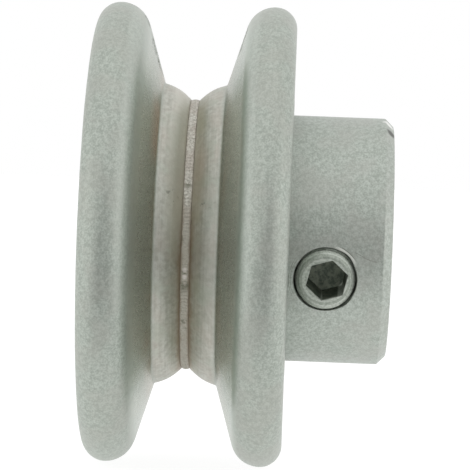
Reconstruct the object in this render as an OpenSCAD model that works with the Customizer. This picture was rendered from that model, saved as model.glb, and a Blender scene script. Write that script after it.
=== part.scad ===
// V-belt pulley: two half-groove discs pressed on a keyed hub and joined by a
// weld seam at the bottom of the groove, with a socket set screw in the hub.
// Origin: on the bore axis, in the middle plane of the groove.
// +Y runs along the bore axis from the outer disc to the hub, +Z is up.

/* [Pulley] */
// Outside diameter over the rims
pulley_d = 53.5; // [52:0.1:58]
// Overall width of the two discs
pulley_w = 23; // [21.6:0.2:24]
// Distance between the crests of the two rims
crest_gap = 17.9; // [17:0.1:18.4]

/* [Groove] */
// Included angle of the groove's walls, in degrees
groove_angle = 34; // [30:1:36]
// Radius of the rounding from a rim's crest into the groove
rim_inner_r = 3.4; // [2.8:0.1:3.5]
// Diameter at the knee, where a groove wall meets its shoulder
knee_d = 35; // [34.4:0.2:36]
// Diameter of the discs where they meet the weld seam
notch_d = 31.3; // [31:0.1:32]
// Radius of the convex shoulder between knee and weld seam
shoulder_r = 6.5; // [5.5:0.5:9]

/* [Outer face] */
// Outside diameter of the shallow recess in each outer face
recess_outer_d = 44; // [42:0.5:45]
// Inside diameter of the shallow recess in each outer face
recess_inner_d = 34; // [33:0.5:36]
// Depth of the recess
recess_depth = 1.2; // [0.6:0.1:1.6]

/* [Hub] */
// Outside diameter of the hub
hub_d = 28.6; // [28:0.1:29]
// Distance from the groove's middle plane to the hub's free end
hub_reach = 23.05; // [22.6:0.05:25]
// Chamfer on the hub's free end
hub_chamfer = 0.95; // [0.4:0.05:1.2]
// Bore diameter, for a 5/8 inch shaft
bore_d = 15.9; // [15.88:0.01:16.2]
// Chamfer at both mouths of the bore
bore_chamfer = 0.5; // [0.2:0.1:0.8]
// Width of the keyway, for a 3/16 inch key
keyway_w = 4.8; // [4.76:0.02:4.9]
// Distance from the bore axis to the keyway's floor
keyway_reach = 10.2; // [9.8:0.1:10.6]
// Angle of the keyway about the bore axis, from +X towards +Z
keyway_turn = 73.2; // [60:0.1:90]

/* [Weld seam] */
// Width of the gap between the discs that the weld fills
seam_w = 1; // [0.6:0.1:1.2]
// Height of the seam's crown above the discs' edges
seam_crown = 0.12; // [0.05:0.01:0.2]

/* [Set screw] */
// Pitch diameter of the 5/16-18 thread, which stands for the thread in the hub
thread_d = 7.1; // [6.9:0.05:7.2]
// Radial clearance of the screw in its thread
thread_gap = 0.05; // [0.02:0.01:0.09]
// Length of the screw
screw_len = 6; // [5:0.1:6.3]
// Distance from the bore axis to the screw's outer face
screw_reach = 14.5; // [14.4:0.1:14.6]
// Distance of the screw's axis from the groove's middle plane
screw_y = 15.65; // [15.5:0.05:16.5]
// Angle of the screw below +X
screw_drop = 16.8; // [0:0.1:30]
// Chamfer around the screw's outer face
screw_chamfer = 0.65; // [0.4:0.05:0.8]
// Distance across the flats of the hexagon socket, for a 5/32 inch key
socket_af = 4; // [3.9:0.01:4.1]
// Depth of the hexagon socket
socket_depth = 3.3; // [2.5:0.1:3.5]
// Turn of the hexagon socket about the screw's axis
socket_turn = 48; // [0:1:59]
// Diameter of the cup at the screw's tip
cup_d = 4.2; // [3.6:0.1:4.6]

/* [Hidden] */
$fn = 96;
slack = 0.01;
pulley_r = pulley_d / 2;
face_y = pulley_w / 2;
crest_y = crest_gap / 2;
wall_tilt = groove_angle / 2;
knee_r = knee_d / 2;
notch_r = notch_d / 2;
hub_r = hub_d / 2;
bore_r = bore_d / 2;
thread_r = thread_d / 2;
seam_half = seam_w / 2;
// A cut reaches this far past the outline that it rounds
cut_reach = 1;

// The rounding from a rim's crest to its outer face ends on both of them
rim_outer_r = face_y - crest_y;

// Corner that the groove's wall would make with the crest, and where the
// rounding between them runs tangent into the wall
corner_y = crest_y - rim_inner_r * tan(45 - wall_tilt / 2);
wall_top_y = crest_y - rim_inner_r * cos(wall_tilt);
wall_top_r = pulley_r - rim_inner_r * (1 - sin(wall_tilt));
knee_y = wall_top_y - (wall_top_r - knee_r) * tan(wall_tilt);

// The shoulder is an arc that bulges outwards, between the knee and the seam
knee = [knee_r, knee_y];
notch = [notch_r, seam_half];
shoulder_chord = norm(knee - notch);
shoulder_out = [knee[1] - notch[1], notch[0] - knee[0]] / shoulder_chord;
shoulder_half_angle = asin(shoulder_chord / 2 / shoulder_r);
shoulder_mid = (knee + notch) / 2;
shoulder_centre = shoulder_mid - shoulder_out * shoulder_r * cos(shoulder_half_angle);
shoulder_apex = shoulder_mid + shoulder_out * shoulder_chord / 2 * tan(shoulder_half_angle);

// A half section drawn with radius along x and the bore axis along y
module turned() {
    rotate([-90, 0, 0]) rotate_extrude() children();
}

// Frame with +Z along the screw's axis, pointing out of the hub
module along_screw() {
    translate([0, screw_y, 0]) rotate([0, 90 + screw_drop, 0]) children();
}

// What an arc from a to b takes off the corner between them
module arc_cut(a, corner, b, centre, r) {
    difference() {
        polygon([a, corner, b]);
        translate(centre) circle(r = r);
    }
}

// Half section of the disc on the +Y side
module flange_section() {
    crest = [pulley_r, crest_y];
    difference() {
        polygon([
            [hub_r, seam_half], [hub_r, face_y], [pulley_r, face_y],
            [pulley_r, corner_y], knee, shoulder_apex, notch]);
        arc_cut(crest, [pulley_r + cut_reach, face_y + cut_reach],
            [pulley_r - rim_outer_r, face_y],
            [pulley_r - rim_outer_r, crest_y], rim_outer_r);
        arc_cut(crest, [pulley_r + cut_reach, corner_y - cut_reach],
            [wall_top_r, wall_top_y],
            [pulley_r - rim_inner_r, crest_y], rim_inner_r);
        arc_cut(knee, shoulder_apex + shoulder_out * cut_reach, notch,
            shoulder_centre, shoulder_r);
        translate([recess_inner_d / 2, face_y - recess_depth])
            square([(recess_outer_d - recess_inner_d) / 2, 2 * recess_depth]);
    }
}

module outer_flange() {
    color([0.66, 0.69, 0.65]) turned() mirror([0, 1]) flange_section();
}

module inner_flange() {
    color([0.69, 0.71, 0.67]) turned() flange_section();
}

module weld_bead() {
    crown_r = (pow(seam_half, 2) + pow(seam_crown, 2)) / (2 * seam_crown);
    color([0.78, 0.76, 0.72]) turned() {
        translate([hub_r, -seam_half]) square([notch_r - hub_r, seam_w]);
        intersection() {
            translate([notch_r + seam_crown - crown_r, 0]) circle(r = crown_r);
            translate([notch_r - slack, -seam_half]) square([1, seam_w]);
        }
    }
}

module hub() {
    color([0.62, 0.65, 0.62]) difference() {
        turned() polygon([
            [bore_r + bore_chamfer, -face_y], [hub_r, -face_y],
            [hub_r, hub_reach - hub_chamfer], [hub_r - hub_chamfer, hub_reach],
            [bore_r + bore_chamfer, hub_reach], [bore_r, hub_reach - bore_chamfer],
            [bore_r, -face_y + bore_chamfer]]);
        rotate([0, -keyway_turn, 0])
            translate([0, -face_y - 1, -keyway_w / 2])
            cube([keyway_reach, pulley_w + hub_reach + 2, keyway_w]);
        along_screw() translate([0, 0, bore_r / 2]) cylinder(h = hub_r, r = thread_r);
    }
}

module set_screw() {
    screw_r = thread_r - thread_gap;
    tip = screw_reach - screw_len;
    socket_r = socket_af / 2 / cos(30);
    color([0.72, 0.72, 0.74]) along_screw() difference() {
        rotate_extrude() polygon([
            [0, tip], [cup_d / 2, tip], [screw_r, tip + screw_r - cup_d / 2],
            [screw_r, screw_reach - screw_chamfer],
            [screw_r - screw_chamfer, screw_reach], [0, screw_reach]]);
        translate([0, 0, screw_reach - socket_depth]) rotate([0, 0, socket_turn])
            cylinder(h = socket_depth + 1, r = socket_r, $fn = 6);
        translate([0, 0, tip - slack]) cylinder(h = cup_d / 4, r1 = cup_d / 2 - 0.3, r2 = 0);
    }
}

hub();
outer_flange();
inner_flange();
weld_bead();
set_screw();
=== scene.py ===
"""Looks for the V-belt pulley: detailed meshes, materials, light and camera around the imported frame.

Lengths are millimetres, turned into metres as each mesh is made. The frame's origin is on the bore
axis in the middle plane of the groove, +Y runs from the outer disc to the hub, and +Z is up.
"""
import math

import bmesh
import bpy
from mathutils import Matrix, Vector, noise


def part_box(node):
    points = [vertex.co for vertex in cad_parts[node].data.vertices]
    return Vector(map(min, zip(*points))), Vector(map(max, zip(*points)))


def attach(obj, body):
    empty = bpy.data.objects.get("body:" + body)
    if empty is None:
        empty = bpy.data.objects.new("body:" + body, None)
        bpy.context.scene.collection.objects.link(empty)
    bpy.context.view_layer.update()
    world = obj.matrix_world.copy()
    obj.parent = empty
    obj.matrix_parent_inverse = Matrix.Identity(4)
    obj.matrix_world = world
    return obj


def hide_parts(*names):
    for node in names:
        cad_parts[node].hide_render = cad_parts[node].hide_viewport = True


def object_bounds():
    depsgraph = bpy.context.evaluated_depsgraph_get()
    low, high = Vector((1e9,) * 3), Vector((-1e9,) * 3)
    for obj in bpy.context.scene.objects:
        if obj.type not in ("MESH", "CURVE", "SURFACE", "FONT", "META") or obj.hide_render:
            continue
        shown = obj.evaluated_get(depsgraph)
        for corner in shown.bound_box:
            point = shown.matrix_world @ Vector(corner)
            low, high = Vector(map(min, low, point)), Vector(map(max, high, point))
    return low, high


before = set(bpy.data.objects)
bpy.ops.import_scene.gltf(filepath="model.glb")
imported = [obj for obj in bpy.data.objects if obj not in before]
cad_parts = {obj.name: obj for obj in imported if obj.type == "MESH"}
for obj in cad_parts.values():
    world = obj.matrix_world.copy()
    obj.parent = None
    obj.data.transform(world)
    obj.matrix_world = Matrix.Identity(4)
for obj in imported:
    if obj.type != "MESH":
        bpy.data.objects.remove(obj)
cad_low, cad_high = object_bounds()

MM = 0.001


def box_mm(node):
    """Lowest and highest corner of a CAD node in millimetres."""
    low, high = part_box(node)
    return low / MM, high / MM


# Driving sizes that the frame gives
disc_low, disc_high = box_mm("inner_flange")
hub_high = box_mm("hub")[1]
bead_high = box_mm("weld_bead")[1]
RIM_R = disc_high.z
FACE_Y = disc_high.y
SEAM_HALF = disc_low.y
HUB_R = hub_high.z
HUB_END = hub_high.y
BEAD_R = bead_high.z

# Sizes of the outlines
CREST_Y = 8.95
WALL_TILT = math.radians(17)
RIM_INNER_R = 3.4
KNEE_R = 17.5
NOTCH_R = 15.65
SHOULDER_R = 6.5
RECESS_INNER_R = 17.0
RECESS_OUTER_R = 22.0
RECESS_DEPTH = 1.2
RECESS_DRAFT = 0.25
HUB_CHAMFER = 0.95
BORE_R = 7.95
BORE_CHAMFER = 0.5
KEYWAY_W = 4.8
KEYWAY_REACH = 10.2
KEYWAY_TURN = math.radians(73.2)

# Set screw and its hole; distances along its axis are measured from the bore axis
SCREW_Y = 15.65
SCREW_DROP = math.radians(16.8)
SCREW_FACE = 14.5
SCREW_TIP = 8.5
SCREW_CREST_R = 3.5
SCREW_ROOT_R = 2.9
THREAD_PITCH = 1.4111
THREAD_CREST_FLAT = 0.18
THREAD_GAP = 0.05
CROWN_R = 3.36
CROWN_LEN = 0.9
FACE_R = 2.87
SOCKET_AF = 4.1
SOCKET_DEPTH = 3.3
SOCKET_TURN = math.radians(47)
SOCKET_SHIFT = 0.2
CUP_R = 2.1
HOLE_SMOOTH_FROM = 11.95
HOLE_MOUTH_CHAMFER = 0.08
HOLE_MOUTH_FLARE = 0.12
HOLE_MOUTH_DEPTH = 0.7

# Nicks in the mouth of the screw hole: middle and width in degrees, depth
MOUTH_NICKS = [(139, 15, 0.13), (38, 14, 0.08)]
# Middles of the burr and of the dark crescents round the screw hole's mouth; the crescents are painted
# shade along raised burr edges
BURR_AT = (13.9, 18.1, -0.9)
CRESCENT_AT = (13.7, 11.6, -3.9)
# Rough places high on the groove's walls: middle and reach, which is longer round the groove
FLAWS = [
    (0.5, -6.0, 24.6, 1.2),
    (0.5, -4.9, 21.6, 2.0),
    (0.5, -4.3, 19.6, 1.5),
    (5.0, 5.5, 23.2, 1.3),
    (5.0, 4.95, 21.7, 1.3),
]
FLAW_SQUASH = 0.4
# Patches of small pits on the shoulders: angle from +X towards +Z, in degrees, and place along the bore
PIT_PATCHES = [(14, 2.3), (16, -1.7)]
PIT_PATCH_R = 16.8
PIT_PATCH_REACH = 1.3
# Slag left across the weld, and bare flecks on it: the same angle, and reach
SLAG_PATCHES = [(22, 0.5), (-14, 0.55), (-20, 0.85), (-37, 0.5)]
FLECK_PATCHES = [(-13, 0.4), (-16, 0.4)]


# ---------------------------------------------------------------- outlines

def fillet(corners, step):
    """Outline through corners (x, y, radius), each rounded, with a point every step or less."""
    outline = []
    count = len(corners)
    for i, (x, y, radius) in enumerate(corners):
        here = Vector((x, y))
        back = Vector(corners[i - 1][:2]) - here
        ahead = Vector(corners[(i + 1) % count][:2]) - here
        if radius <= 0:
            outline.append(here)
            continue
        back.normalize()
        ahead.normalize()
        half = back.angle(ahead) / 2
        reach = radius / math.tan(half)
        centre = here + (back + ahead).normalized() * radius / math.sin(half)
        start = here + back * reach - centre
        swing = start.angle_signed(here + ahead * reach - centre)
        pieces = max(2, math.ceil(abs(swing) * radius / step))
        for k in range(pieces + 1):
            turn = -swing * k / pieces
            cos_t, sin_t = math.cos(turn), math.sin(turn)
            outline.append(centre + Vector((start.x * cos_t - start.y * sin_t,
                                            start.x * sin_t + start.y * cos_t)))
    return outline


def divided(outline, step):
    """The closed outline with its long straight stretches divided."""
    result = []
    for i, a in enumerate(outline):
        b = outline[(i + 1) % len(outline)]
        pieces = max(1, math.ceil((b - a).length / step))
        result.extend(a.lerp(b, k / pieces) for k in range(pieces))
    return result


# ---------------------------------------------------------------- mesh making

def new_object(name, mesh, sharp_degrees):
    mesh.validate()
    for polygon in mesh.polygons:
        polygon.use_smooth = True
    mesh.set_sharp_from_angle(angle=math.radians(sharp_degrees))
    piece = bpy.data.objects.new(name, mesh)
    bpy.context.scene.collection.objects.link(piece)
    return piece


def ring_mesh(name, rings, closed, to_world=None):
    """Mesh through rings of points that all have the same count.

    closed joins the last ring to the first; otherwise the first and last ring are single points
    that close the ends."""
    bm = bmesh.new()
    made = [[bm.verts.new(p) for p in ring] for ring in rings]
    pairs = list(zip(made, made[1:]))
    if closed:
        pairs.append((made[-1], made[0]))
    for low, high in pairs:
        count = max(len(low), len(high))
        for i in range(count):
            j = (i + 1) % count
            if len(low) == 1:
                bm.faces.new((low[0], high[i], high[j]))
            elif len(high) == 1:
                bm.faces.new((low[i], high[0], low[j]))
            else:
                bm.faces.new((low[i], high[i], high[j], low[j]))
    bmesh.ops.recalc_face_normals(bm, faces=bm.faces)
    if to_world is not None:
        bm.transform(to_world)
    bm.transform(Matrix.Scale(MM, 4))
    mesh = bpy.data.meshes.new(name)
    bm.to_mesh(mesh)
    bm.free()
    return mesh


def turned_rings(outline, segments, relief=None):
    """Rings of points about the Y axis, one for each outline point (radius, along).

    relief(point) is how far a point moves along the outline's normal."""
    rings = []
    count = len(outline)
    for i, point in enumerate(outline):
        run = outline[(i + 1) % count] - outline[i - 1]
        inward = Vector((run.y, -run.x)).normalized()
        ring = []
        for k in range(segments):
            turn = 2 * math.pi * k / segments
            radial = Vector((math.cos(turn), 0, math.sin(turn)))
            place = radial * point.x + Vector((0, point.y, 0))
            if relief is not None:
                depth = relief(place)
                place += (radial * inward.x + Vector((0, inward.y, 0))) * depth
            ring.append(place)
        rings.append(ring)
    return rings


def area_sign(outline):
    """+1 for an outline that runs anticlockwise, -1 for clockwise."""
    total = sum(a.cross(b) for a, b in zip(outline, outline[1:] + outline[:1]))
    return math.copysign(1, total)


# ---------------------------------------------------------------- discs

def disc_outline(side):
    """Half section (radius, along) of one disc; side is +1 for the hub's side and -1 for the other."""
    corner_y = CREST_Y - RIM_INNER_R * math.tan(math.pi / 4 - WALL_TILT / 2)
    wall_top = Vector((RIM_R - RIM_INNER_R * (1 - math.sin(WALL_TILT)),
                       CREST_Y - RIM_INNER_R * math.cos(WALL_TILT)))
    knee = Vector((KNEE_R, wall_top.y - (wall_top.x - KNEE_R) * math.tan(WALL_TILT)))
    notch = Vector((NOTCH_R, SEAM_HALF))
    chord = knee - notch
    outward = Vector((chord.y, -chord.x)).normalized()
    bow = math.asin(chord.length / 2 / SHOULDER_R)
    apex = (knee + notch) / 2 + outward * chord.length / 2 * math.tan(bow)
    floor_y = FACE_Y - RECESS_DEPTH
    corners = [
        (HUB_R, SEAM_HALF, 0),
        (HUB_R, FACE_Y - 0.25, 0),
        (HUB_R + 0.25, FACE_Y, 0.1),
        (RECESS_INNER_R, FACE_Y, 0.3),
        (RECESS_INNER_R + RECESS_DRAFT, floor_y, 0.45),
        (RECESS_OUTER_R - RECESS_DRAFT, floor_y, 0.45),
        (RECESS_OUTER_R, FACE_Y, 0.3),
        (RIM_R, FACE_Y, FACE_Y - CREST_Y),
        (RIM_R, corner_y, RIM_INNER_R),
        (knee.x, knee.y, 0.3),
        (apex.x, apex.y, SHOULDER_R * 0.85),
        (notch.x, notch.y, 0.12),
    ]
    outline = divided(fillet(corners, 0.22), 0.32)
    if side < 0:
        outline = [Vector((p.x, -p.y)) for p in reversed(outline)]
    return outline


def pressed_relief(seed):
    """Gentle unevenness of a pressed and blasted surface, up to 0.05 mm deep."""
    shift = Vector((seed * 17.3, seed * 5.1, seed * 9.7))

    def relief(place):
        broad = noise.noise(place * 0.16 + shift)
        fine = noise.noise(place * 0.9 + shift)
        depth = 0.028 + 0.018 * broad + 0.010 * fine
        for x, y, z, reach in FLAWS:
            gap = place - Vector((x, y, z))
            gap.x *= FLAW_SQUASH
            near = 1 - gap.length / reach
            if near > 0:
                depth += 0.16 * min(1.0, 2 * near) * max(0.0, 0.35 + noise.noise(place * 1.9 + shift))
        return depth

    return relief


def make_disc(name, side, seed):
    outline = disc_outline(side)
    if area_sign(outline) < 0:
        outline.reverse()
    gentle = pressed_relief(seed)

    def relief(place):
        radius = math.hypot(place.x, place.z)
        return -gentle(place) if radius > NOTCH_R + 0.3 else 0.0

    rings = turned_rings(outline, 480, relief)
    return new_object(name, ring_mesh(name, rings, closed=True), 40)


# ---------------------------------------------------------------- weld seam

def make_bead(name):
    """Seam at the bottom of the groove: a low crown with close curved ripples left by the weld."""
    segments = 1500
    ripples = 236
    across = 14
    base_r = NOTCH_R - 0.6
    top_r = BEAD_R - 0.015
    side = Vector((0, SEAM_HALF * 0.98, 0))
    rings = []
    for k in range(segments):
        turn = 2 * math.pi * k / segments
        radial = Vector((math.cos(turn), 0, math.sin(turn)))
        probe = radial * 6
        sway = 0.035 * noise.noise(probe * 0.9)
        lower = min(1.0, max(0.0, 0.5 - 2.5 * math.sin(turn)))
        spread = 0.89 - 0.11 * lower + 0.05 * noise.noise(probe * 1.7 + Vector((3, 1, 4)))
        lumps = 0.05 * lower * noise.noise(probe * 7.5)
        uneven = 0.5 + 0.5 * noise.noise(probe * 5.3 + Vector((9, 2, 6)))
        ring = [radial * base_r - side, radial * (top_r - 0.16) - side]
        for i in range(across + 1):
            u = 2 * i / across - 1
            along = u * SEAM_HALF * spread + sway * (1 - abs(u))
            phase = ripples * turn + 1.9 * u * u + 1.1 * noise.noise(probe * 9.1)
            edge = 1 - u * u
            height = (0.09 + lumps) * edge
            height -= (0.04 + 0.07 * uneven) * edge * (0.5 - 0.5 * math.cos(phase))
            ring.append(radial * (top_r - 0.12 + height) + Vector((0, along, 0)))
        ring += [radial * (top_r - 0.16) + side, radial * base_r + side]
        rings.append(ring)
    return new_object(name, ring_mesh(name, rings, closed=True), 60)


# ---------------------------------------------------------------- hub

def along_screw():
    """Matrix to the pulley's frame from one with +Z along the screw's axis, out of the hub."""
    return Matrix.Translation((0, SCREW_Y, 0)) @ Matrix.Rotation(math.pi / 2 + SCREW_DROP, 4, "Y")


def thread_radius(turn, along, crest_r, root_r):
    """Radius of a right-hand 60 degree thread at an angle and a distance along its axis."""
    place = along / THREAD_PITCH - turn / (2 * math.pi)
    from_crest = abs(place - round(place)) * THREAD_PITCH
    flank = max(0.0, from_crest - THREAD_CREST_FLAT / 2) * math.tan(math.radians(60))
    return max(root_r, crest_r - flank)


def mouth_swell(turn):
    """How far the worn mouth of the hole stands off the thread's circle; turn 0 is the lower side."""
    swell = HOLE_MOUTH_FLARE * math.cos(turn) ** 2 + 0.15 * max(0.0, math.cos(turn)) ** 2
    for middle, width, height in MOUTH_NICKS:
        off = (math.degrees(turn) - middle + 180) % 360 - 180
        swell += height * math.exp(-(off / width) ** 2)
    return swell


def hole_cutter():
    """The tapped hole as a solid: threaded deep in the hub, smooth and a little worn at its mouth."""
    segments = 120
    crest = SCREW_CREST_R + THREAD_GAP
    root = SCREW_ROOT_R + THREAD_GAP
    start, end = BORE_R - 2.5, HUB_R + 1.5
    levels = []
    along = start
    while along < HOLE_SMOOTH_FROM:
        levels.append(along)
        along += THREAD_PITCH / 16
    levels += [HOLE_SMOOTH_FROM, HOLE_SMOOTH_FROM + 0.15]
    levels += [HUB_R - HOLE_MOUTH_DEPTH + 0.05 * k for k in range(18)]
    levels.append(end)
    rings = [[Vector((0, 0, start))]]
    for along in levels:
        ring = []
        for k in range(segments):
            turn = 2 * math.pi * k / segments
            if along <= HOLE_SMOOTH_FROM:
                radius = thread_radius(turn, along, crest, root)
            else:
                surface = math.sqrt(HUB_R ** 2 - (crest * math.cos(turn)) ** 2)
                flare = min(1.0, max(0.0, (along - surface + HOLE_MOUTH_DEPTH) / 0.5))
                radius = crest + mouth_swell(turn) * flare
                radius += max(0.0, along - surface + HOLE_MOUTH_CHAMFER)
            ring.append(Vector((radius * math.cos(turn), radius * math.sin(turn), along)))
        rings.append(ring)
    rings.append([Vector((0, 0, end))])
    mesh = ring_mesh("hole_cutter", rings, closed=False, to_world=along_screw())
    return new_object("hole_cutter", mesh, 40)


def keyway_cutter():
    """Prism along the bore with rounded inner corners."""
    outline = fillet([(0, -KEYWAY_W / 2, 0), (KEYWAY_REACH, -KEYWAY_W / 2, 0.2),
                      (KEYWAY_REACH, KEYWAY_W / 2, 0.2), (0, KEYWAY_W / 2, 0)], 0.08)
    rings = []
    for along in (-FACE_Y - 2, HUB_END + 2):
        rings.append([Vector((p.x, along, p.y)) for p in outline])
    start, end = ([sum(ring, Vector()) / len(ring)] for ring in rings)
    to_world = Matrix.Rotation(-KEYWAY_TURN, 4, "Y")
    mesh = ring_mesh("keyway_cutter", [start, *rings, end], closed=False, to_world=to_world)
    return new_object("keyway_cutter", mesh, 30)


def cut(piece, cutters):
    """Applies exact boolean cuts and removes the cutters."""
    for cutter in cutters:
        modifier = piece.modifiers.new("cut", "BOOLEAN")
        modifier.operation = "DIFFERENCE"
        modifier.solver = "EXACT"
        modifier.object = cutter
    bpy.context.view_layer.update()
    depsgraph = bpy.context.evaluated_depsgraph_get()
    mesh = bpy.data.meshes.new_from_object(piece.evaluated_get(depsgraph))
    piece.modifiers.clear()
    piece.data = mesh
    for polygon in mesh.polygons:
        polygon.use_smooth = True
    mesh.set_sharp_from_angle(angle=math.radians(28))
    for cutter in cutters:
        bpy.data.objects.remove(cutter)


def make_hub(name):
    corners = [
        (BORE_R + BORE_CHAMFER, -FACE_Y, 0.05),
        (HUB_R - 0.25, -FACE_Y, 0.1),
        (HUB_R, -FACE_Y + 0.25, 0),
        (HUB_R, HUB_END - HUB_CHAMFER, 0.25),
        (HUB_R - HUB_CHAMFER, HUB_END, 0.2),
        (BORE_R + BORE_CHAMFER, HUB_END, 0.08),
        (BORE_R, HUB_END - BORE_CHAMFER, 0.08),
        (BORE_R, -FACE_Y + BORE_CHAMFER, 0.08),
    ]
    outline = fillet(corners, 0.06)
    rings = turned_rings(outline, 360)
    hub = new_object(name, ring_mesh(name, rings, closed=True), 28)
    cut(hub, [keyway_cutter(), hole_cutter()])
    return hub


# ---------------------------------------------------------------- set screw

def hexagon_radius(turn):
    """Distance from the axis to the socket's side, at an angle."""
    sector = math.pi / 3
    from_flat = (turn - SOCKET_TURN) % sector - sector / 2
    return SOCKET_AF / 2 / math.cos(from_flat)


def face_radius(turn):
    """Edge of the screw's end face, a little wider at its lower side."""
    return FACE_R + 0.12 * max(0.0, math.cos(turn)) ** 2


def screw_outer_radius(turn, along):
    """Radius of the screw's outside: crown and chamfer, thread, and the cone towards the cup point."""
    from_face = SCREW_FACE - along
    chamfer = 0.6
    if from_face < CROWN_LEN:
        worn = 0.15 * max(0.0, math.cos(turn)) ** 2
        return min(CROWN_R + worn, face_radius(turn) + (CROWN_R - FACE_R + worn) * from_face / chamfer)
    runout = CROWN_R + (from_face - CROWN_LEN) * 1.2
    tip_cone = CUP_R + 0.25 + (along - SCREW_TIP) * 1.0
    return min(thread_radius(turn, along, SCREW_CREST_R, SCREW_ROOT_R), runout, tip_cone)


def make_screw(name):
    segments = 144
    turns = [2 * math.pi * k / segments for k in range(segments)]

    def ring(radius_at, along):
        return [Vector((radius_at(t) * math.cos(t), radius_at(t) * math.sin(t), along)) for t in turns]

    def circle(radius, along):
        return ring(lambda t: radius, along)

    def shifted(points):
        return [p + Vector((0, SOCKET_SHIFT, 0)) for p in points]

    def hexagon(scale, along):
        return shifted(ring(lambda t: hexagon_radius(t) * scale, along))

    floor = SCREW_FACE - SOCKET_DEPTH
    rings = [[Vector((0, 0, floor - 0.25))]]
    rings += [circle(0.4, floor - 0.2), shifted(circle(SOCKET_AF / 2 * 0.96, floor))]
    rings.append(hexagon(0.995, floor + 0.05))
    rings += [hexagon(1 + 0.006 * k, floor + 0.25 + (SOCKET_DEPTH - 0.35) * k / 4) for k in range(5)]
    rings.append(hexagon(1.045, SCREW_FACE))
    rings += [ring(lambda t: face_radius(t) - 0.05, SCREW_FACE), ring(face_radius, SCREW_FACE - 0.015)]
    along = SCREW_FACE - 0.08
    step = THREAD_PITCH / 20
    while along > SCREW_TIP + 0.03:
        rings.append(ring(lambda t: screw_outer_radius(t, along), along))
        along -= step
    rings += [circle(CUP_R + 0.22, SCREW_TIP), circle(CUP_R + 0.1, SCREW_TIP)]
    rings += [circle(CUP_R - 0.05, SCREW_TIP + 0.08), circle(0.3, SCREW_TIP + 0.95)]
    rings.append([Vector((0, 0, SCREW_TIP + 1.0))])
    mesh = ring_mesh(name, rings, closed=False, to_world=along_screw())
    return new_object(name, mesh, 35)


# ---------------------------------------------------------------- materials

def around_bore(radius, degrees, y, reach):
    """Place (x, y, z, reach) at a radius from the bore axis, turned from +X towards +Z."""
    turn = math.radians(degrees)
    return radius * math.cos(turn), y, radius * math.sin(turn), reach


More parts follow.
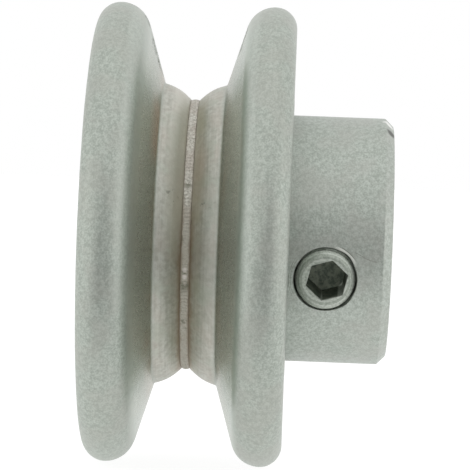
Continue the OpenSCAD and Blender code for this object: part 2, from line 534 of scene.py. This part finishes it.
class Graph:
    """A material's node graph with short calls for the nodes used here; all its lengths are millimetres."""

    def __init__(self, name):
        self.material = bpy.data.materials.new(name)
        self.material.use_nodes = True
        self.tree = self.material.node_tree
        self.tree.nodes.clear()
        self.shader = self.node("ShaderNodeBsdfPrincipled")
        output = self.node("ShaderNodeOutputMaterial")
        self.tree.links.new(self.shader.outputs[0], output.inputs["Surface"])
        metres = self.node("ShaderNodeTexCoord").outputs["Object"]
        self.place = self.vector("MULTIPLY", metres, (1 / MM, 1 / MM, 1 / MM))

    def node(self, kind, **settings):
        made = self.tree.nodes.new(kind)
        for key, value in settings.items():
            setattr(made, key, value)
        return made

    def feed(self, socket, value):
        if isinstance(value, bpy.types.NodeSocket):
            self.tree.links.new(value, socket)
        elif isinstance(value, (tuple, list)) and len(value) == 3 and socket.type == "RGBA":
            socket.default_value = (*value, 1)
        else:
            socket.default_value = value

    def math(self, operation, *values):
        made = self.node("ShaderNodeMath", operation=operation)
        for socket, value in zip(made.inputs, values):
            self.feed(socket, value)
        return made.outputs[0]

    def times(self, product, *factors):
        for factor in factors:
            product = self.math("MULTIPLY", product, factor)
        return product

    def scaled(self, value, factor, offset):
        """value * factor + offset"""
        return self.math("MULTIPLY_ADD", value, factor, offset)

    def vector(self, operation, *values, out=0):
        made = self.node("ShaderNodeVectorMath", operation=operation)
        for socket, value in zip(made.inputs, values):
            self.feed(socket, value)
        return made.outputs[out]

    def split(self):
        """The x, y and z of the shaded point."""
        made = self.node("ShaderNodeSeparateXYZ")
        self.feed(made.inputs[0], self.place)
        return made.outputs

    def joined(self, *values):
        made = self.node("ShaderNodeCombineXYZ")
        for socket, value in zip(made.inputs, values):
            self.feed(socket, value)
        return made.outputs[0]

    def about_screw(self):
        """Distances of the shaded point from the screw's axis, and along that axis from the bore axis."""
        axis = tuple(along_screw().to_3x3() @ Vector((0, 0, 1)))
        from_axis = self.vector("SUBTRACT", self.place, (0, SCREW_Y, 0))
        away = self.vector("LENGTH", self.vector("CROSS_PRODUCT", from_axis, axis), out=1)
        return away, self.vector("DOT_PRODUCT", from_axis, axis, out=1)

    def noise(self, scale, detail, rough, vector=None):
        made = self.node("ShaderNodeTexNoise")
        self.feed(made.inputs["Vector"], vector or self.place)
        made.inputs["Scale"].default_value = scale
        made.inputs["Detail"].default_value = detail
        made.inputs["Roughness"].default_value = rough
        return made.outputs["Fac"]

    def step(self, value, low, high):
        """0 at low, 1 at high, smooth between; low may be the larger."""
        made = self.node("ShaderNodeMapRange", interpolation_type="SMOOTHSTEP")
        self.feed(made.inputs["Value"], value)
        backwards = low > high
        made.inputs["From Min"].default_value = min(low, high)
        made.inputs["From Max"].default_value = max(low, high)
        made.inputs["To Min"].default_value = 1.0 if backwards else 0.0
        made.inputs["To Max"].default_value = 0.0 if backwards else 1.0
        return made.outputs[0]

    def band(self, value, low, full_from, full_to, high):
        """1 from full_from to full_to, fading to 0 at low and at high."""
        return self.times(self.step(value, low, full_from), self.step(value, high, full_to))

    def near(self, centre, inner, outer, squash=1.0):
        """1 within inner of a point, fading to 0 at outer; squash below 1 makes it longer along X."""
        x, y, z = centre
        place = self.vector("MULTIPLY", self.place, (squash, 1, 1))
        gap = self.vector("DISTANCE", place, (x * squash, y, z), out=1)
        return self.step(gap, outer, inner)

    def spots(self, places):
        """1 in the middle of each place (x, y, z, reach)."""
        most = 0.0
        for x, y, z, reach in places:
            most = self.math("MAXIMUM", self.near((x, y, z), 0.3 * reach, reach), most)
        return most

    def mix(self, factor, a, b):
        made = self.node("ShaderNodeMix", data_type="RGBA")
        self.feed(made.inputs[0], factor)
        self.feed(made.inputs[6], a)
        self.feed(made.inputs[7], b)
        return made.outputs[2]

    def toned(self, color, tone, mask, strength):
        """The colour moved towards a tone, by the strength where the mask is 1."""
        return self.mix(self.times(mask, strength), color, tone)

    def bump(self, height, depth):
        made = self.node("ShaderNodeBump")
        made.inputs["Strength"].default_value = 0.7
        made.inputs["Distance"].default_value = depth * MM
        self.feed(made.inputs["Height"], height)
        return made.outputs[0]

    def finish(self, color, roughness, metallic, normal):
        self.feed(self.shader.inputs["Base Color"], color)
        self.feed(self.shader.inputs["Roughness"], roughness)
        self.shader.inputs["Metallic"].default_value = metallic
        self.feed(self.shader.inputs["Normal"], normal)
        return self.material


def coat_base(graph, light, dark, warm):
    """Finely blasted coat: speckled grain with soft warm clouds. Returns colour and grain height."""
    fine = graph.noise(5.2, 2.0, 0.6)
    coarse = graph.noise(2.1, 2.0, 0.5)
    grain = graph.scaled(fine, 0.6, graph.times(coarse, 0.4))
    color = graph.mix(graph.step(grain, 0.36, 0.64), dark, light)
    cloud = graph.step(graph.noise(0.26, 2.0, 0.5), 0.42, 0.66)
    return graph.toned(color, warm, cloud, 0.35), grain


class GroovePlace:
    """Where the shaded point of a disc lies in the groove, and how uneven the bare metal is there."""

    def __init__(self, graph):
        x, self.y, self.z = graph.split()
        self.radius = graph.math("SQRT", graph.scaled(x, x, graph.times(self.z, self.z)))
        self.off_middle = graph.math("ABSOLUTE", self.y)
        in_groove = graph.band(self.y, -6.1, -5.1, 5.6, 6.7)
        self.on_wall = graph.times(in_groove, graph.step(self.radius, KNEE_R - 0.1, KNEE_R + 0.25))
        self.on_shoulder = graph.times(graph.step(self.radius, KNEE_R + 0.1, KNEE_R - 0.2),
                                       graph.step(self.off_middle, 5.5, 4.8))

        # Faint turning lines, stretched along the circumference, and a fine mottle
        lines = graph.noise(4.2, 3.0, 0.6, graph.joined(self.radius, self.y, graph.times(x, 0.05)))
        mottle = graph.noise(1.7, 3.0, 0.6)
        self.uneven = graph.step(graph.scaled(lines, 0.35, graph.times(mottle, 0.65)), 0.34, 0.66)
        self.blotch = graph.step(graph.noise(0.19, 3.0, 0.6), 0.38, 0.7)
        self.drift = graph.step(graph.noise(0.33, 2.0, 0.5), 0.36, 0.64)


def with_bare_walls(graph, color, at):
    """Adds the bare walls, darkened towards the bottom of the groove as painted shade, and browner there
    from the heat of the weld.
    """
    bare = graph.mix(at.uneven, (0.435, 0.475, 0.41), (0.495, 0.54, 0.475))
    bare = graph.toned(bare, (0.40, 0.48, 0.425), at.drift, 0.4)
    # Painted shade: the bare walls darken towards the knee, deep in the groove
    bare = graph.mix(graph.step(at.radius, 25.0, KNEE_R), bare, (0.395, 0.42, 0.355))
    color = graph.toned(color, bare, at.on_wall, 0.9)
    # Brown heat tint near the knee, which also darkens it there as painted shade
    near_knee = graph.times(at.on_wall, graph.step(at.radius, KNEE_R + 3.2, KNEE_R))
    color = graph.toned(color, (0.38, 0.30, 0.21), near_knee, graph.scaled(at.blotch, 0.6, 0.1))
    knee_line = graph.times(at.on_wall, graph.step(at.radius, KNEE_R + 1.6, KNEE_R + 0.5))
    color = graph.toned(color, (0.23, 0.28, 0.24), graph.times(knee_line, graph.step(at.y, 2.0, 3.0)), 0.4)
    scorch = graph.times(near_knee, graph.near((14.1, -4.1, 12.7), 2.2, 6.5))
    return graph.toned(color, (0.52, 0.38, 0.28), scorch, 0.85)


def with_shoulders(graph, color, at):
    """Adds the shoulders: light metal with pink and green clouds, olive and scorched next to the seam."""
    shoulder = graph.mix(at.uneven, (0.41, 0.405, 0.35), (0.60, 0.60, 0.545))
    shoulder = graph.toned(shoulder, (0.535, 0.48, 0.42), at.drift, 0.36)
    green = graph.step(graph.noise(0.43, 2.0, 0.5), 0.50, 0.66)
    shoulder = graph.toned(shoulder, (0.45, 0.50, 0.42), green, 0.38)
    color = graph.toned(color, shoulder, at.on_shoulder, 0.92)

    near_seam = graph.times(at.on_shoulder, graph.step(at.off_middle, 2.0, 1.1))
    olive = graph.times(graph.step(at.y, 0.3, 0.8), graph.step(at.z, -2.0, 3.0))
    strength = graph.scaled(at.blotch, 0.4, graph.scaled(olive, 0.1, 0.08))
    color = graph.toned(color, (0.45, 0.42, 0.30), near_seam, strength)
    off_edge = graph.math("ADD", at.off_middle, graph.scaled(graph.noise(0.65, 3.0, 0.6), 0.8, -0.4))
    scorch = graph.times(graph.step(off_edge, 1.1, 0.55), graph.step(at.z, 5.0, -1.0))
    color = graph.toned(color, (0.30, 0.215, 0.135), scorch, 0.65)

    # A lighter band on the outer disc's shoulder near the seam, on its upper half only
    lighter_upper_band = graph.times(graph.band(at.y, -2.8, -1.8, -0.8, -0.3), graph.step(at.z, -3.0, 3.0))
    color = graph.toned(color, (0.70, 0.68, 0.61), graph.times(lighter_upper_band, at.on_shoulder), 0.55)
    # A darker band at mid height on the inner disc's shoulder
    darker_middle_band = graph.times(graph.step(at.y, 1.8, 2.8), graph.band(at.z, -12.0, -8.0, 5.0, 9.0))
    color = graph.toned(color, (0.37, 0.39, 0.34), graph.times(darker_middle_band, at.on_shoulder), 0.25)
    rust = graph.times(graph.near((15.2, 1.4, 7.5), 1.0, 5.0), graph.step(at.y, 2.2, 1.2))
    return graph.toned(color, (0.42, 0.32, 0.235), graph.times(rust, at.on_shoulder), 0.15)


def groove_marks(graph, at):
    """Mask of the small pits on the shoulders and the rough flaws high on the walls."""
    flaws = 0.0
    for x, y, z, reach in FLAWS:
        flaws = graph.math("MAXIMUM", graph.near((x, y, z), 0.4, reach, FLAW_SQUASH), flaws)
    broken = graph.scaled(graph.step(at.y, -1.0, 1.0), 0.04, graph.noise(1.9, 2.0, 0.7))
    flaws = graph.times(flaws, graph.step(broken, 0.52, 0.60))
    patches = [around_bore(PIT_PATCH_R, degrees, along, PIT_PATCH_REACH) for degrees, along in PIT_PATCHES]
    specks = graph.step(graph.noise(1.6, 2.0, 0.6), 0.56, 0.64)
    return graph.math("MAXIMUM", graph.times(graph.spots(patches), specks, 0.75), flaws)


def disc_material():
    graph = Graph("disc_coat")
    color, grain = coat_base(graph, (0.50, 0.543, 0.49), (0.34, 0.374, 0.332), (0.43, 0.43, 0.39))
    at = GroovePlace(graph)

    # Lighter just inside each rim, fading out towards the bottom
    brim = graph.times(graph.step(at.off_middle, 7.6, 6.9), graph.step(at.radius, 23.0, 24.5))
    color = graph.toned(color, (0.60, 0.645, 0.59), graph.times(brim, graph.step(at.z, -11.0, -6.0)), 0.24)

    color = with_bare_walls(graph, color, at)
    color = with_shoulders(graph, color, at)
    marks = groove_marks(graph, at)
    color = graph.toned(color, (0.14, 0.14, 0.12), marks, 0.75)

    # The grain is finest on the walls, and the shoulders show their turning lines
    grain_share = graph.scaled(at.on_wall, -0.85, graph.scaled(at.on_shoulder, -0.5, 1.0))
    grain_height = graph.times(grain, grain_share)
    line_height = graph.times(at.uneven, graph.scaled(at.on_wall, 0.08, graph.times(at.on_shoulder, 0.4)))
    height = graph.scaled(marks, -1.2, graph.math("ADD", grain_height, line_height))
    rough = graph.scaled(at.on_wall, -0.16, graph.scaled(grain, 0.16, 0.36))
    return graph.finish(color, rough, 0.8, graph.bump(height, 0.03))


def hub_material():
    graph = Graph("hub_coat")
    color, grain = coat_base(graph, (0.513, 0.556, 0.509), (0.345, 0.379, 0.337), (0.45, 0.45, 0.415))
    y, z = graph.split()[1:]
    away, along = graph.about_screw()

    # Burrs pushed up round the mouth of the hole: a ridge with a line beside it, and two fainter crescents;
    # the line and crescents are painted shade along the burrs' edges, and are also sunk by the bump
    ridge = graph.times(graph.band(away, 3.62, 3.78, 3.88, 4.05), graph.near(BURR_AT, 0.9, 1.9))
    line = graph.times(graph.band(away, 3.98, 4.05, 4.09, 4.16), graph.near(BURR_AT, 0.7, 1.5))
    crescents = graph.math("MAXIMUM", graph.band(away, 3.86, 3.92, 3.94, 4.0),
                           graph.band(away, 4.06, 4.12, 4.14, 4.2))
    crescents = graph.times(crescents, graph.near(CRESCENT_AT, 1.6, 3.0))
    color = graph.toned(color, (0.70, 0.71, 0.66), ridge, 0.8)
    color = graph.toned(color, (0.20, 0.20, 0.16), crescents, 0.4)
    color = graph.toned(color, (0.14, 0.14, 0.11), line, 0.6)

    # A fine wavy scratch that falls from the burr, at y 18.76 and z -0.94, towards the hub's end
    wave = graph.times(graph.math("SINE", graph.times(y, 2.4)), 0.07)
    fall = graph.scaled(graph.math("SUBTRACT", y, 18.76), -0.41, -0.94)
    off_line = graph.math("ABSOLUTE", graph.math("SUBTRACT", z, graph.math("ADD", fall, wave)))
    scratch = graph.times(graph.step(off_line, 0.08, 0.02), graph.near((13.9, 20.1, -1.5), 1.3, 1.6))
    color = graph.toned(color, (0.20, 0.20, 0.17), scratch, 0.45)

    # Bare darker metal inside the tapped hole, and a slightly brighter chamfer
    in_hole = graph.times(graph.step(away, 3.60, 3.565), graph.step(along, 12.5, 13.3))
    color = graph.toned(color, (0.09, 0.095, 0.075), in_hole, 0.8)
    end_band = graph.step(y, HUB_END - 1.05, HUB_END - 0.9)
    color = graph.toned(color, (0.52, 0.53, 0.49), end_band, 0.12)

    # A painted glint on a knock on the end's upper edge, with a dark slit under it
    color = graph.toned(color, (0.93, 0.93, 0.90), graph.near((3.3, 22.35, 13.45), 0.4, 1.0), 0.85)
    color = graph.toned(color, (0.07, 0.07, 0.06), graph.near((5.6, 22.5, 12.4), 0.4, 0.95), 0.9)

    height = graph.scaled(ridge, 3.0, grain)
    height = graph.scaled(graph.math("MAXIMUM", crescents, line), -0.9, height)
    return graph.finish(color, graph.scaled(grain, 0.16, 0.36), 0.8, graph.bump(height, 0.03))


def weld_material():
    graph = Graph("weld_metal")
    grain = graph.noise(4.2, 3.0, 0.6)
    broad = graph.step(graph.noise(0.42, 2.0, 0.5), 0.38, 0.66)
    color = graph.mix(graph.step(grain, 0.35, 0.65), (0.42, 0.405, 0.35), (0.75, 0.735, 0.67))
    color = graph.toned(color, (0.45, 0.38, 0.33), broad, 0.45)
    y, z = graph.split()[1:]
    lower = graph.step(z, 6.2, 0.5)
    color = graph.toned(color, (0.385, 0.365, 0.30), lower, 0.7)
    ragged = graph.scaled(graph.noise(0.9, 3.0, 0.6), 0.5, -0.25)
    off_edge = graph.math("ADD", graph.math("ABSOLUTE", y), ragged)
    edge = graph.step(off_edge, 0.25, 0.43)
    color = graph.toned(color, (0.28, 0.225, 0.16), edge, graph.scaled(lower, 0.42, 0.2))

    # Slag left across the seam on its lower half, with bare flecks beside it
    broken = graph.step(graph.noise(1.3, 2.0, 0.6), 0.62, 0.70)
    slag = graph.spots([around_bore(BEAD_R, degrees, 0, reach) for degrees, reach in SLAG_PATCHES])
    slag = graph.times(slag, graph.step(graph.noise(1.9, 2.0, 0.6), 0.38, 0.52))
    slag = graph.math("MAXIMUM", slag, graph.times(broken, lower, 0.6))
    fleck = graph.spots([around_bore(BEAD_R, degrees, 0, reach) for degrees, reach in FLECK_PATCHES])
    color = graph.toned(color, (0.15, 0.155, 0.105), slag, 0.75)
    color = graph.toned(color, (0.88, 0.82, 0.78), fleck, 0.6)
    return graph.finish(color, graph.scaled(grain, 0.2, 0.38), 0.35, graph.bump(grain, 0.03))


def screw_material():
    graph = Graph("screw_steel")
    away, along = graph.about_screw()
    grain = graph.noise(3.8, 3.0, 0.6)
    rings = graph.noise(6.5, 2.0, 0.5, graph.joined(away, along))
    mottled = graph.scaled(rings, 0.5, graph.times(grain, 0.5))
    color = graph.mix(graph.step(mottled, 0.36, 0.64), (0.30, 0.335, 0.285), (0.57, 0.61, 0.55))
    in_socket = graph.times(graph.step(away, 2.36, 2.28),
                            graph.step(along, SCREW_FACE - 0.06, SCREW_FACE - 0.25))
    stained = graph.step(graph.noise(1.5, 3.0, 0.6), 0.4, 0.62)
    deep = graph.mix(stained, (0.045, 0.065, 0.042), (0.155, 0.175, 0.13))
    color = graph.toned(color, deep, in_socket, 0.9)
    return graph.finish(color, graph.scaled(grain, 0.2, 0.34), 0.55, graph.bump(mottled, 0.015))


def floor_material():
    """White lit table, less bright in front of the pulley, where only its reflection shows that."""
    graph = Graph("floor_white")
    tone = graph.mix(graph.noise(0.003, 1.0, 0.5), (0.14, 0.14, 0.14), (0.16, 0.16, 0.16))
    graph.feed(graph.shader.inputs["Base Color"], tone)
    graph.shader.inputs["Roughness"].default_value = 0.9
    x, y = graph.split()[:2]
    aside = graph.math("ABSOLUTE", graph.scaled(x, -0.16, y))
    front = graph.times(graph.step(x, 15.0, 75.0), graph.step(graph.scaled(x, -0.5, aside), 30.0, 0.0))
    unseen = graph.math("SUBTRACT", 1.0, graph.node("ShaderNodeLightPath").outputs["Is Camera Ray"])
    glow = graph.mix(graph.times(front, unseen), (0.9, 0.9, 0.9), (0.28, 0.28, 0.28))
    graph.feed(graph.shader.inputs["Emission Color"], glow)
    graph.shader.inputs["Emission Strength"].default_value = 1.0
    return graph.material


# ---------------------------------------------------------------- pieces

def dress(piece, material, body, node):
    piece.data.materials.clear()
    piece.data.materials.append(material)
    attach(piece, body)
    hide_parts(node)


coat = disc_material()
dress(make_disc("outer_disc", -1, 1), coat, "pulley", "outer_flange")
dress(make_disc("inner_disc", 1, 2), coat, "pulley", "inner_flange")
dress(make_bead("weld_seam"), weld_material(), "pulley", "weld_bead")
dress(make_hub("hub_sleeve"), hub_material(), "pulley", "hub")
dress(make_screw("socket_screw"), screw_material(), "screw", "set_screw")


# ---------------------------------------------------------------- stage, light and camera

def make_floor():
    size = 3.0
    bm = bmesh.new()
    bmesh.ops.create_circle(bm, cap_ends=True, segments=96, radius=size)
    bm.transform(Matrix.Translation((0, 0, cad_low.z)))
    mesh = bpy.data.meshes.new("floor")
    bm.to_mesh(mesh)
    bm.free()
    floor = bpy.data.objects.new("floor", mesh)
    bpy.context.scene.collection.objects.link(floor)
    floor.data.materials.append(floor_material())


def area_light(name, place, size, power):
    """Square soft light at place, aimed at the pulley."""
    data = bpy.data.lights.new(name, "AREA")
    data.shape = "SQUARE"
    data.size = size
    data.energy = power
    light = bpy.data.objects.new(name, data)
    light.location = place
    light.rotation_euler = Vector(place).to_track_quat("Z", "Y").to_euler()
    bpy.context.scene.collection.objects.link(light)


def make_world():
    """White surroundings, less bright in front, where the photographer stands."""
    world = bpy.data.worlds.new("studio")
    bpy.context.scene.world = world
    world.use_nodes = True
    tree = world.node_tree
    background = tree.nodes["Background"]
    coordinate = tree.nodes.new("ShaderNodeTexCoord")
    ahead = tree.nodes.new("ShaderNodeVectorMath")
    ahead.operation = "DOT_PRODUCT"
    ahead.inputs[1].default_value = (0.92, 0.31, -0.24)
    shade = tree.nodes.new("ShaderNodeMapRange")
    shade.interpolation_type = "SMOOTHSTEP"
    shade.inputs["From Min"].default_value = 0.68
    shade.inputs["From Max"].default_value = 0.88
    shade.inputs["To Min"].default_value = 1.0
    shade.inputs["To Max"].default_value = 0.45
    rays = tree.nodes.new("ShaderNodeLightPath")
    bright = tree.nodes.new("ShaderNodeMath")
    bright.operation = "MAXIMUM"
    squash = tree.nodes.new("ShaderNodeVectorMath")
    squash.operation = "MULTIPLY"
    squash.inputs[1].default_value = (1.0, 1.9, 1.0)
    straighten = tree.nodes.new("ShaderNodeVectorMath")
    straighten.operation = "NORMALIZE"
    tree.links.new(coordinate.outputs["Generated"], squash.inputs[0])
    tree.links.new(squash.outputs[0], straighten.inputs[0])
    tree.links.new(straighten.outputs[0], ahead.inputs[0])
    tree.links.new(ahead.outputs["Value"], shade.inputs["Value"])
    tree.links.new(shade.outputs[0], bright.inputs[0])
    tree.links.new(rays.outputs["Is Camera Ray"], bright.inputs[1])
    tree.links.new(bright.outputs[0], background.inputs["Strength"])
    background.inputs["Color"].default_value = (1, 1, 1, 1)


def make_camera():
    """Nearly square on to the bore axis, from a little above, with the axis dropping to the right."""
    yaw, pitch, roll = math.radians(1.15), math.radians(1.7), math.radians(2.16)
    target = Vector((0, 5.13, 0.11)) * MM
    distance = 0.3201
    back = Vector((math.cos(yaw) * math.cos(pitch), math.sin(yaw) * math.cos(pitch), math.sin(pitch)))
    right = Vector((-math.sin(yaw), math.cos(yaw), 0))
    up = back.cross(right)
    rolled_right = right * math.cos(roll) + up * math.sin(roll)
    rolled_up = up * math.cos(roll) - right * math.sin(roll)
    data = bpy.data.cameras.new("camera")
    data.sensor_width = 36
    data.lens = 210.2
    camera = bpy.data.objects.new("camera", data)
    bpy.context.scene.collection.objects.link(camera)
    axes = Matrix((rolled_right, rolled_up, back)).transposed().to_4x4()
    camera.matrix_world = Matrix.Translation(target + back * distance) @ axes
    bpy.context.scene.camera = camera


make_floor()
make_world()
area_light("top_soft", (0.1, 0.0, 0.7), 0.7, 0.15)
area_light("left_soft", (0.15, -0.7, 0.15), 0.5, 0.15)
area_light("right_soft", (0.15, 0.7, 0.15), 0.5, 0.15)
make_camera()
bpy.context.scene.view_settings.view_transform = "Standard"
